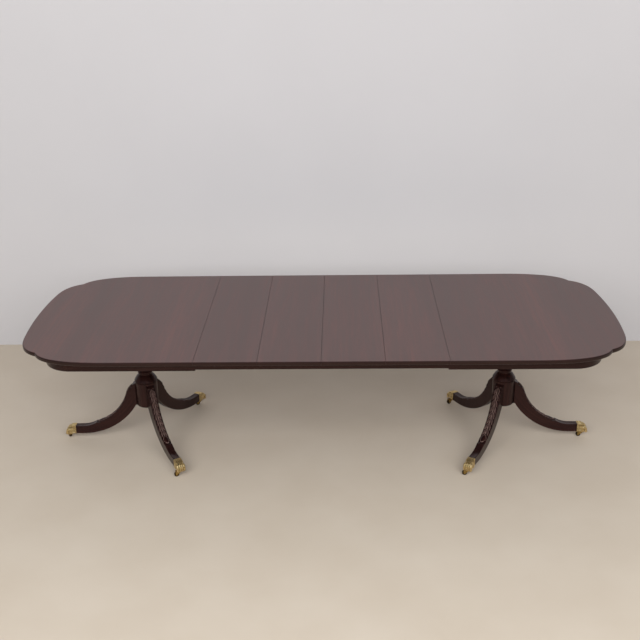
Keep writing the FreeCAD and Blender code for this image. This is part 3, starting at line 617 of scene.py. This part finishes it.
def carved_leg():
    """Leg along +X, with its carving and the grain that follows its sweep."""
    corners, grain = [], []
    for low, high, run, out in zip(lower, upper, upper_run, upper_out):
        depth = float(np.hypot(*(high - low)))
        half_width = np.interp(high[0], (HUB_R, LEG_TOE_R), (HUB_HALF_WIDTH, TOE_HALF_WIDTH))
        section = leg_section(half_width, depth)
        rise = (high - low) / depth
        flat_half = half_width - ARRIS
        near_top = np.clip(1 - (depth - section[:, 1]) / SIDE_FADE, 0, 1)
        places = np.clip(section[:, 0], -flat_half, flat_half)
        raised = carving(np.full(len(section), run), places, flat_half) * near_top
        flat = low + section[:, 1:] * rise + raised[:, None] * out
        corners.append(np.stack((flat[:, 0], section[:, 0], flat[:, 1]), 1))
        grain.append(np.stack((np.full(len(section), run), section[:, 0], section[:, 1]), 1))
    ring = len(corners[0])
    ends = [range(ring), range((STATIONS - 1) * ring, STATIONS * ring)]
    mesh = new_mesh("carved_leg", np.vstack(corners), ring_faces(STATIONS, ring) + ends)
    stored = mesh.attributes.new("grain", "FLOAT_VECTOR", "POINT")
    stored.data.foreach_set("vector", (np.vstack(grain) * MM).astype(np.float32).ravel())
    mesh = tidy_mesh(mesh)
    places = np.empty(len(mesh.vertices) * 3, np.float32)
    mesh.attributes["grain"].data.foreach_get("vector", places)
    run, y = places.reshape(-1, 3).T[:2] / MM
    # Only the leaf's middle on faces that point up takes the pale mark, worn and painted as a highlight where
    # light catches it.
    upward = np.array([v.normal.z for v in mesh.vertices]) > FACES_UP
    rubbed_and_lit = upward * (run < LEAF_END) * (np.abs(y) < HIGHLIGHT_HALF_WIDTH)
    mark_recesses(mesh, CARVING_ROUNDS, CARVING_DEPTH, rubbed_and_lit)
    return mesh


leg_mesh = carved_leg()
for side in SIDES:
    for place, angle in LEG_ANGLES.items():
        leg, name = at_pedestal(leg_mesh, side, angle), "_".join((side, place))
        show(name + "_carved_leg", leg, lacquer["own"], side + "_half", [name + "_leg"])
print("carved leg has", len(leg_mesh.polygons), "faces")

# %% [markdown]
# ## Brass lion paws
# A founder cast each paw in one piece: a cup that the end of the leg is let into, tufts of hair that fall
# from its rim, and four toes with claws. Such rounded forms that flow into each other are laid down like
# clay: short tapered rolls, each the hull of two balls, are heaped in place, and a fine voxel skin is drawn
# over the heap.

# %% Model a paw
PAW_VOXEL_MM, SOLE_Z, RIM_X = 0.7, 31.0, 420.0
RIM_HALF, RIM_LOW, RIM_HIGH = 18.4, 38.0, 83.0
RIM_BEADS, BODY_X, BODY_Y, LOWER_SPREAD = ((RIM_X, 2.2), (RIM_X + 5, 1.7)), RIM_X + 5, 6.5, 1.3
TOES_Y, TOE_SPLAY, TOE_ROOT = (-15.9, -5.3, 5.3, 15.9), 1.07, 0.95
HAIR_Y, SECOND_HAIR_Y, SECOND_HAIR_START = (-15.5, -7.8, 0, 7.8, 15.5), (-12.2, -4.1, 4.1, 12.2), 13.0
SIDE_HAIR_Z, HAIR_SPREAD, HAIR_FALL = (74, 64, 54, 45), 0.003, 0.12
HAIR_Z, SECOND_HAIR_Z, SIDE_HAIR_Y = RIM_HIGH - 1, RIM_HIGH - 6, RIM_HALF - 0.5
TUFT_PATH = ((0, -0.8, 2.2), (9, 1.0, 3.3), (18, 1.4, 3.6), (26, -0.8, 2.7), (33, -3.6, 1.0))
TARNISH_ROUNDS, TARNISH_DEPTH, EASE, EASE_ROUNDS, BALL_ROUNDS = 10, 0.55, 0.5, 3, 3


def ball_points(rounds):
    """Even points on a ball of radius 1."""
    work = bmesh.new()
    bmesh.ops.create_icosphere(work, subdivisions=rounds, radius=1.0)
    points = [v.co.copy() for v in work.verts]
    work.free()
    return points


BALL = ball_points(BALL_ROUNDS)
print("clay ball has", len(BALL), "points")

# %% [markdown]
# With the ball at hand, a roll is the hull of two balls, and a chain of rolls makes a toe, a claw or a tuft
# of hair. A tuft is a path of steps: how far it has come from the rim, how far it stands off the paw, and
# how thick it is there.

# %% Lay the clay
def roll(clay, start, start_radius, end, end_radius):
    """Adds a tapered roll of clay between two points."""
    work = bmesh.new()
    for centre, radius in ((start, start_radius), (end, end_radius)):
        for point in BALL:
            work.verts.new(Vector(centre) + point * radius)
    bmesh.ops.convex_hull(work, input=work.verts[:])
    bmesh.ops.delete(work, geom=[v for v in work.verts if not v.link_faces], context="VERTS")
    work.verts.index_update()
    first = len(clay["corners"])
    clay["corners"] += [v.co[:] for v in work.verts]
    clay["faces"] += [[first + v.index for v in face.verts] for face in work.faces]
    work.free()


def chain(clay, points):
    """Adds rolls through a list of points, each with its radius."""
    for (start, r0), (end, r1) in zip(points, points[1:]):
        roll(clay, start, r0, end, r1)


def toe(clay, y):
    """Knuckle, arch and pad of one toe, with its claw."""
    out = y * TOE_SPLAY
    chain(clay, [((452, y * TOE_ROOT, 62), 8.6), ((460, y, 62.5), 8.8), ((466.5, out, 55.5), 7.8),
                 ((468, out, 46.5), 6.6), ((467.5, out, 38.5), 7.4)])
    chain(clay, [((473.0, out, 44), 2.9), ((475.8, out, 39), 2.1), ((476.4, out, 34.0), 0.9)])


def tuft(clay, rim, out, start=0.0):
    """Tuft of hair that falls from a place on the rim towards the toes, out being the way it stands off."""
    steps = []
    for ahead, off, radius in TUFT_PATH:
        y = rim[0] * (1 + ahead * HAIR_SPREAD) + out[0] * off
        z = rim[1] + out[1] * off - ahead * HAIR_FALL
        steps.append(((RIM_X + start + ahead, y, z), radius))
    chain(clay, steps)


def paw_body(clay):
    """Two upper and two lower rolls that fill the paw, and the beaded rim of its cup."""
    for y in (-BODY_Y, BODY_Y):
        low_y = y * LOWER_SPREAD
        chain(clay, [((BODY_X, y, 66), 14), ((440, y, 63), 16.5), ((456, y, 56), 15)])
        chain(clay, [((BODY_X, low_y, 50), 11.5), ((440, low_y, 46), 13.5), ((457, low_y, 43), 11.5)])
    rim = [(-RIM_HALF, RIM_LOW), (-RIM_HALF, RIM_HIGH), (RIM_HALF, RIM_HIGH), (RIM_HALF, RIM_LOW)]
    for x, radius in RIM_BEADS:
        chain(clay, [((x, y, z), radius) for y, z in rim + rim[:1]])


def paw_hair(clay):
    """Two rows of tufts over the back of the paw, and one down each side."""
    for y in HAIR_Y:
        tuft(clay, (y, HAIR_Z), (0, 1))
    for y in SECOND_HAIR_Y:
        tuft(clay, (y, SECOND_HAIR_Z), (0, 1), start=SECOND_HAIR_START)
    for side in (-1, 1):
        for z in SIDE_HAIR_Z:
            tuft(clay, (side * SIDE_HAIR_Y, z), (side, 0))


print("paw has", len(TOES_Y), "toes and", len(HAIR_Y + SECOND_HAIR_Y + 2 * SIDE_HAIR_Z), "tufts of hair")

# %% [markdown]
# The heap of rolls becomes one casting: the voxel skin joins them, a little smoothing takes the steps away,
# and the sole is filed flat.

# %% Cast the paws
def lion_paw():
    """Paw along +X, on the end of a leg."""
    clay = {"corners": [], "faces": []}
    for y in TOES_Y:
        toe(clay, y)
    paw_body(clay)
    paw_hair(clay)
    heap = bpy.data.objects.new("paw_clay", new_mesh("paw_clay", clay["corners"], clay["faces"]))
    bpy.context.scene.collection.objects.link(heap)
    skin = heap.modifiers.new("skin", "REMESH")
    skin.mode, skin.voxel_size = "VOXEL", PAW_VOXEL_MM * MM
    ease = heap.modifiers.new("ease", "SMOOTH")
    ease.factor, ease.iterations = EASE, EASE_ROUNDS
    mesh = bpy.data.meshes.new_from_object(heap.evaluated_get(bpy.context.evaluated_depsgraph_get()))
    bpy.data.objects.remove(heap)
    points = corners_of(mesh)
    points[:, 2] = np.maximum(points[:, 2], SOLE_Z * MM)
    mesh.vertices.foreach_set("co", points.ravel())
    mesh.update()
    mesh.shade_smooth()
    mark_recesses(mesh, TARNISH_ROUNDS, TARNISH_DEPTH)
    return mesh


paw_mesh = lion_paw()
for side in SIDES:
    for place, angle in LEG_ANGLES.items():
        paw, name = at_pedestal(paw_mesh, side, angle), "_".join((side, place))
        show(name + "_lion_paw", paw, brass, side + "_half", [name + "_paw"])
print("lion paw has", len(paw_mesh.polygons), "faces")

# %% [markdown]
# ## Slotted wood screws
# Steel screws with a slotted, countersunk head hold the rails, the pedestal boards, the spider plates and
# the paws. They are all alike, so one screw is described once, as a small tree of Geometry Nodes: a cone
# with a slot cut across it, on a round shank. The tree sets a copy on every point of a list, turns it the
# way that screw is driven, and gives each slot a chance angle, because nobody lines up the slots under a
# table.

# %% Describe one screw
SCREW_SIZES = {"Head Radius": 5.0, "Head Depth": 3.0, "Shank Radius": 2.4, "Shank Length": 20.0,
               "Slot Width": 1.2, "Slot Depth": 1.3}
HEAD_SIDES, SHANK_SIDES, CHANCE_SEED = 32, 24, 4


def screw_tree():
    """Geometry Nodes that set a slotted screw on every point."""
    tree = bpy.data.node_groups.new("slotted_screws", "GeometryNodeTree")
    tree.interface.new_socket("Geometry", in_out="INPUT", socket_type="NodeSocketGeometry")
    for name in SCREW_SIZES:
        tree.interface.new_socket(name, in_out="INPUT", socket_type="NodeSocketFloat")
    tree.interface.new_socket("Finish", in_out="INPUT", socket_type="NodeSocketMaterial")
    tree.interface.new_socket("Geometry", in_out="OUTPUT", socket_type="NodeSocketGeometry")
    given = add(tree, "NodeGroupInput").outputs
    cone_sizes = {"Radius Bottom": given["Head Radius"], "Radius Top": given["Shank Radius"],
                  "Depth": given["Head Depth"]}
    cone = add(tree, "GeometryNodeMeshCone", cone_sizes, {"Vertices": HEAD_SIDES}).outputs["Mesh"]
    twice = [add(tree, "ShaderNodeMath", {0: given[name]}, {1: 2.0}, operation="MULTIPLY").outputs["Value"]
             for name in ("Head Radius", "Slot Depth")]
    slot_size = add(tree, "ShaderNodeCombineXYZ", {"X": twice[0], "Y": given["Slot Width"], "Z": twice[1]})
    slot = add(tree, "GeometryNodeMeshCube", {"Size": slot_size.outputs["Vector"]}).outputs["Mesh"]
    head = add(tree, "GeometryNodeMeshBoolean", {"Mesh 1": cone, "Mesh 2": slot}, operation="DIFFERENCE")
    rod_sizes = {"Radius": given["Shank Radius"], "Depth": given["Shank Length"]}
    rod = add(tree, "GeometryNodeMeshCylinder", rod_sizes, {"Vertices": SHANK_SIDES}).outputs["Mesh"]
    lift = add(tree, "ShaderNodeMath", {0: given["Shank Length"], 2: given["Head Depth"]}, {1: 0.5},
               operation="MULTIPLY_ADD").outputs["Value"]
    shift = add(tree, "ShaderNodeCombineXYZ", {"Z": lift}).outputs["Vector"]
    shank = add(tree, "GeometryNodeTransform", {"Geometry": rod, "Translation": shift}).outputs["Geometry"]
    screw = add(tree, "GeometryNodeJoinGeometry", {"Geometry": shank})
    tree.links.new(head.outputs["Mesh"], screw.inputs["Geometry"])
    drive = add(tree, "GeometryNodeInputNamedAttribute", values={"Name": "drive"}, data_type="FLOAT_VECTOR")
    aimed = add(tree, "FunctionNodeAlignRotationToVector", {"Vector": drive.outputs["Attribute"]}, axis="Z")
    limits = {"Max": math.pi, "Seed": CHANCE_SEED}
    chance = add(tree, "FunctionNodeRandomValue", values=limits, data_type="FLOAT")
    spin = add(tree, "ShaderNodeCombineXYZ", {"Z": chance.outputs["Value"]}).outputs["Vector"]
    turn = add(tree, "FunctionNodeEulerToRotation", {"Euler": spin}).outputs["Rotation"]
    turns = {"Rotation": aimed.outputs["Rotation"], "Rotate By": turn}
    turned = add(tree, "FunctionNodeRotateRotation", turns, rotation_space="LOCAL").outputs["Rotation"]
    copies = {"Points": given["Geometry"], "Rotation": turned, "Instance": screw.outputs["Geometry"]}
    spread = add(tree, "GeometryNodeInstanceOnPoints", copies)
    real = add(tree, "GeometryNodeRealizeInstances", {"Geometry": spread.outputs["Instances"]})
    coating = {"Geometry": real.outputs["Geometry"], "Material": given["Finish"]}
    done = add(tree, "GeometryNodeSetMaterial", coating)
    add(tree, "NodeGroupOutput", {"Geometry": done.outputs["Geometry"]})
    return tree


screws = screw_tree()
print("screw tree has", len(screws.nodes), "nodes")

# %% [markdown]
# The places follow the construction: rails and boards on each side of the middle line, battens across, and
# for each leg one screw in the hub, one in the leg, square to its curved underside, and one up into the paw.

# %% Set the screws
RAIL_Y = {"left": 230.0, "right": 291.0}
RAIL_Z, BATTEN_Z, BOARD_Z, SPIDER_Z = 688.3, 703.3, 658.3, 213.0
RAIL_SCREW_X, BOARD_SCREW_X = (659.6, 789.6), (PEDESTAL_X - 120.0, PEDESTAL_X + 120.0)
BATTEN_SCREW_X, BATTEN_SCREW_Y = 1202.4, (-380.0, 0.0, 380.0)
SPIDER_HUB_R, SPIDER_LEG_R, PAW_SCREW_R = 24.0, 106.0, 433.0
SWEEP_CENTRE, SPIDER_FACE_RADIUS, SCREW_PROUD = (383.5, 408.9), 372.3, 0.2


def screw_places(rail_y):
    """Places of the right half's screws, and the way each is driven."""
    upward = np.array((0.0, 0.0, 1.0))
    places = [((x, y, RAIL_Z), upward) for x in RAIL_SCREW_X for y in (-rail_y, rail_y)]
    places += [((BATTEN_SCREW_X, y, BATTEN_Z), upward) for y in BATTEN_SCREW_Y]
    places += [((x, y, BOARD_Z), upward) for x in BOARD_SCREW_X for y in (-rail_y, rail_y)]
    back = SWEEP_CENTRE[0] - SPIDER_LEG_R
    down = math.sqrt(SPIDER_FACE_RADIUS ** 2 - back ** 2)
    for angle in map(math.radians, LEG_ANGLES.values()):
        way = np.array((math.cos(angle), math.sin(angle), 0.0))
        into_leg = (way * back + upward * down) / SPIDER_FACE_RADIUS
        for r, z, drive in ((-SPIDER_HUB_R, SPIDER_Z, upward), (PAW_SCREW_R, SOLE_Z, upward),
                            (SPIDER_LEG_R, SWEEP_CENTRE[1] - down, into_leg)):
            places.append(((PEDESTAL_X + way[0] * r, way[1] * r, z), drive))
    drives = [drive for place, drive in places]
    return [np.asarray(place) - drive * SCREW_PROUD for place, drive in places], drives


def set_screws(side, tree):
    """All screws of one half as one piece."""
    flip = np.array((SIDES[side], 1.0, 1.0))
    places, drives = screw_places(RAIL_Y[side])
    points = new_mesh(side + "_screw_points", np.array(places) * flip, [])
    stored = points.attributes.new("drive", "FLOAT_VECTOR", "POINT")
    stored.data.foreach_set("vector", (np.array(drives) * flip).astype(np.float32).ravel())
    holder = bpy.data.objects.new(side + "_screw_points", points)
    bpy.context.scene.collection.objects.link(holder)
    modifier = holder.modifiers.new("screws", "NODES")
    modifier.node_group = tree
    for socket in tree.interface.items_tree:
        if socket.name in SCREW_SIZES:
            modifier[socket.identifier] = SCREW_SIZES[socket.name] * MM
        if socket.name == "Finish":
            modifier[socket.identifier] = steel
    mesh = bpy.data.meshes.new_from_object(holder.evaluated_get(bpy.context.evaluated_depsgraph_get()))
    bpy.data.objects.remove(holder)
    show(side + "_slotted_screws", mesh, steel, side + "_half", [side + "_wood_screws"])
    return len(places)


print("set", sum(set_screws(side, screws) for side in SIDES), "screws")

# %% [markdown]
# ## Camera
# The photograph was taken from about 2.7 metres up and four and a half metres back, with a slightly long
# lens. The numbers come from lining up the seams, the edges and the feet of the model with the picture.

# %% Set up the camera
FRAME_PX, FOCAL_PX, SENSOR_MM = 640, 923.8, 36.0
CAMERA_MM, PITCH, YAW, ROLL = (103.0, -4504.8, 2653.9), 23.305, -1.524, -0.9945
lens = bpy.data.cameras.new("camera")
lens.sensor_width = SENSOR_MM
lens.lens = FOCAL_PX * SENSOR_MM / FRAME_PX
camera = bpy.data.objects.new("camera", lens)
bpy.context.scene.collection.objects.link(camera)
camera.matrix_world = (Matrix.Translation(Vector(CAMERA_MM) * MM)
                       @ Matrix.Rotation(math.radians(-YAW), 4, "Z")
                       @ Matrix.Rotation(math.radians(90 - PITCH), 4, "X")
                       @ Matrix.Rotation(math.radians(ROLL), 4, "Z"))
bpy.context.scene.camera = camera
print("lens", round(lens.lens, 2), "mm")

# %% [markdown]
# ## Room and light
# The table stands on a pale floor with a pale wall close behind it, in soft light. The wall matters: the
# lacquer mirrors it, and without it the top would look black. Floor and wall are clear from behind, so that
# the table can be looked at from every side.

# %% Floor and wall
TONE_RANGE, MOTTLE_DETAIL = (0.3, 0.7), 5.0


def plain(name, code, other, mottle_mm, roughness):
    """Painted or cast surface with a faint change of tone, clear when it is seen from behind."""
    material, tree = blank_material(name)
    place = add(tree, "ShaderNodeTexCoord").outputs["Object"]
    mottle = noise(tree, place, mottle_mm, MOTTLE_DETAIL)["Fac"]
    tone = colour_steps(tree, mottle, tuple(zip(TONE_RANGE, (code, other))))
    shader = add(tree, "ShaderNodeBsdfPrincipled", {"Base Color": tone}, {"Roughness": roughness})
    behind = add(tree, "ShaderNodeNewGeometry").outputs["Backfacing"]
    clear = add(tree, "ShaderNodeBsdfTransparent")
    faces = {"Fac": behind, 1: shader.outputs["BSDF"], 2: clear.outputs["BSDF"]}
    sheet = add(tree, "ShaderNodeMixShader", faces)
    add(tree, "ShaderNodeOutputMaterial", {"Surface": sheet.outputs["Shader"]})
    return material


def sheet_of_room(name, corners, material):
    """Flat stage surface."""
    mesh = bpy.data.meshes.new(name)
    mesh.from_pydata(corners, [], [(0, 1, 2, 3)])
    mesh.materials.append(material)
    surface = bpy.data.objects.new(name, mesh)
    bpy.context.scene.collection.objects.link(surface)
    return surface


WALL_Y, WALL_TOP, ROOM = 1.26, 4.5, 12.0
sheet_of_room("floor", [(-ROOM, -ROOM, 0), (ROOM, -ROOM, 0), (ROOM, ROOM, 0), (-ROOM, ROOM, 0)],
              plain("sealed_concrete", "#c7baa9", "#cdc1b1", 420, 0.75))
sheet_of_room("wall", [(-ROOM, WALL_Y, 0), (ROOM, WALL_Y, 0), (ROOM, WALL_Y, WALL_TOP),
                       (-ROOM, WALL_Y, WALL_TOP)],
              plain("painted_wall", "#cdcbcd", "#d0ced0", 900, 0.8))
print("wall stands", WALL_Y, "m behind the middle of the table")

# %% [markdown]
# A faint even glow fills the room. Two big soft lamps in front do the work: one hangs under the ceiling, and
# one stands lower and throws light under the top, onto the floor between the pedestals. The lower one is
# kept out of reflections, because it would draw a bright line along the rounded rim. A third, weak one
# washes the wall.

# %% Lamps
SKY, GLOW = "#f2f4f8", 0.3


def softbox(name, place, aim, size, power, mirrored=True):
    """Large soft lamp that points at a spot, and may be left out of reflections."""
    lamp = bpy.data.lights.new(name, "AREA")
    lamp.shape, lamp.size, lamp.size_y, lamp.energy = "RECTANGLE", size[0], size[1], power
    holder = bpy.data.objects.new(name, lamp)
    holder.matrix_world = (Matrix.Translation(place)
                           @ (Vector(aim) - Vector(place)).to_track_quat("-Z", "Y").to_matrix().to_4x4())
    holder.visible_glossy = mirrored
    bpy.context.scene.collection.objects.link(holder)


world = bpy.data.worlds.new("room_light")
bpy.context.scene.world = world
world.use_nodes = True
background = world.node_tree.nodes["Background"].inputs
background["Color"].default_value, background["Strength"].default_value = linear(SKY), GLOW
softbox("ceiling_softbox", (0, -4.2, 4.4), (0, -2.0, 0), (9.0, 4.0), 110)
softbox("front_fill", (0, -5.0, 3.6), (0, -0.3, 0.4), (9.0, 3.2), 330, mirrored=False)
softbox("wall_softbox", (0, -0.9, 3.7), (0, WALL_Y, 1.3), (9.0, 2.0), 15)
bpy.context.scene.view_settings.view_transform = "Standard"
print("lit by", len(bpy.data.lights), "lamps")
